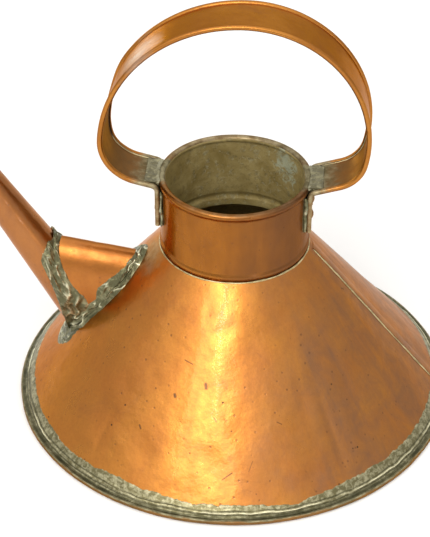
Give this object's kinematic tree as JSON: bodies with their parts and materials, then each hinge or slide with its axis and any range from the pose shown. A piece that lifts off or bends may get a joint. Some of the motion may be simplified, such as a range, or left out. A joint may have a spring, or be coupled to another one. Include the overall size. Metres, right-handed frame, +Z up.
{
  "type": "copper watering can",
  "caption": "Conical copper watering can with a rolled-rim neck, a wired strap handle, a slanting spout with a soldered boot, and a rose that pulls off.",
  "frame": {"origin": "centre of the round base on the surface that it stands on", "axes": "+Z up, the spout points to -X, the handle lies in the XZ plane, and the body's seam faces +X"},
  "size_m": [0.4086, 0.3, 0.2907],
  "materials": {
    "copper_body": "aged copper, semi-polished, pitted and scratched",
    "copper_base": "aged copper, dull",
    "copper_neck": "aged copper, polished outside, brown patina inside",
    "copper_handle": "aged copper, polished by use",
    "copper_spout": "aged copper, semi-polished",
    "copper_boot": "aged copper, semi-polished",
    "copper_rose": "aged copper, semi-polished",
    "copper_rivet": "dark copper",
    "brass_rose": "aged brass",
    "solder": "old lumpy tin solder, dull grey-green",
    "tinned_seam": "old wiped tin along the seam",
    "iron_wire": "plain iron wire, hidden in its hem"
  },
  "bodies": {
    "can": {"base_disc": "copper_base", "base_seam_solder": "tinned_seam", "body_cone": "copper_body", "body_seam_solder": "solder", "neck_collar": "copper_neck", "neck_rim_wire": "iron_wire", "neck_foot_solder": "solder", "handle_strap": "copper_handle", "handle_wire_left": "iron_wire", "handle_wire_right": "iron_wire", "handle_rivets": "copper_rivet", "handle_solder_front": "solder", "handle_solder_rear": "solder", "spout_strainer": "copper_body", "spout_boot": "copper_boot", "spout_tube": "copper_spout", "spout_seam_solder": "solder", "spout_boot_solder": "solder", "spout_foot_solder": "solder"},
    "rose": {"rose_socket": "brass_rose", "rose_funnel": "copper_rose", "rose_face": "brass_rose", "rose_neck_solder": "solder", "rose_rim_solder": "solder"}
  },
  "joints": [
    {"name": "rose_pull_off", "type": "slide", "parent": "can", "child": "rose", "axis": [-0.521, 0, 0.8536], "range_m": [0, 0.045]}
  ]
}
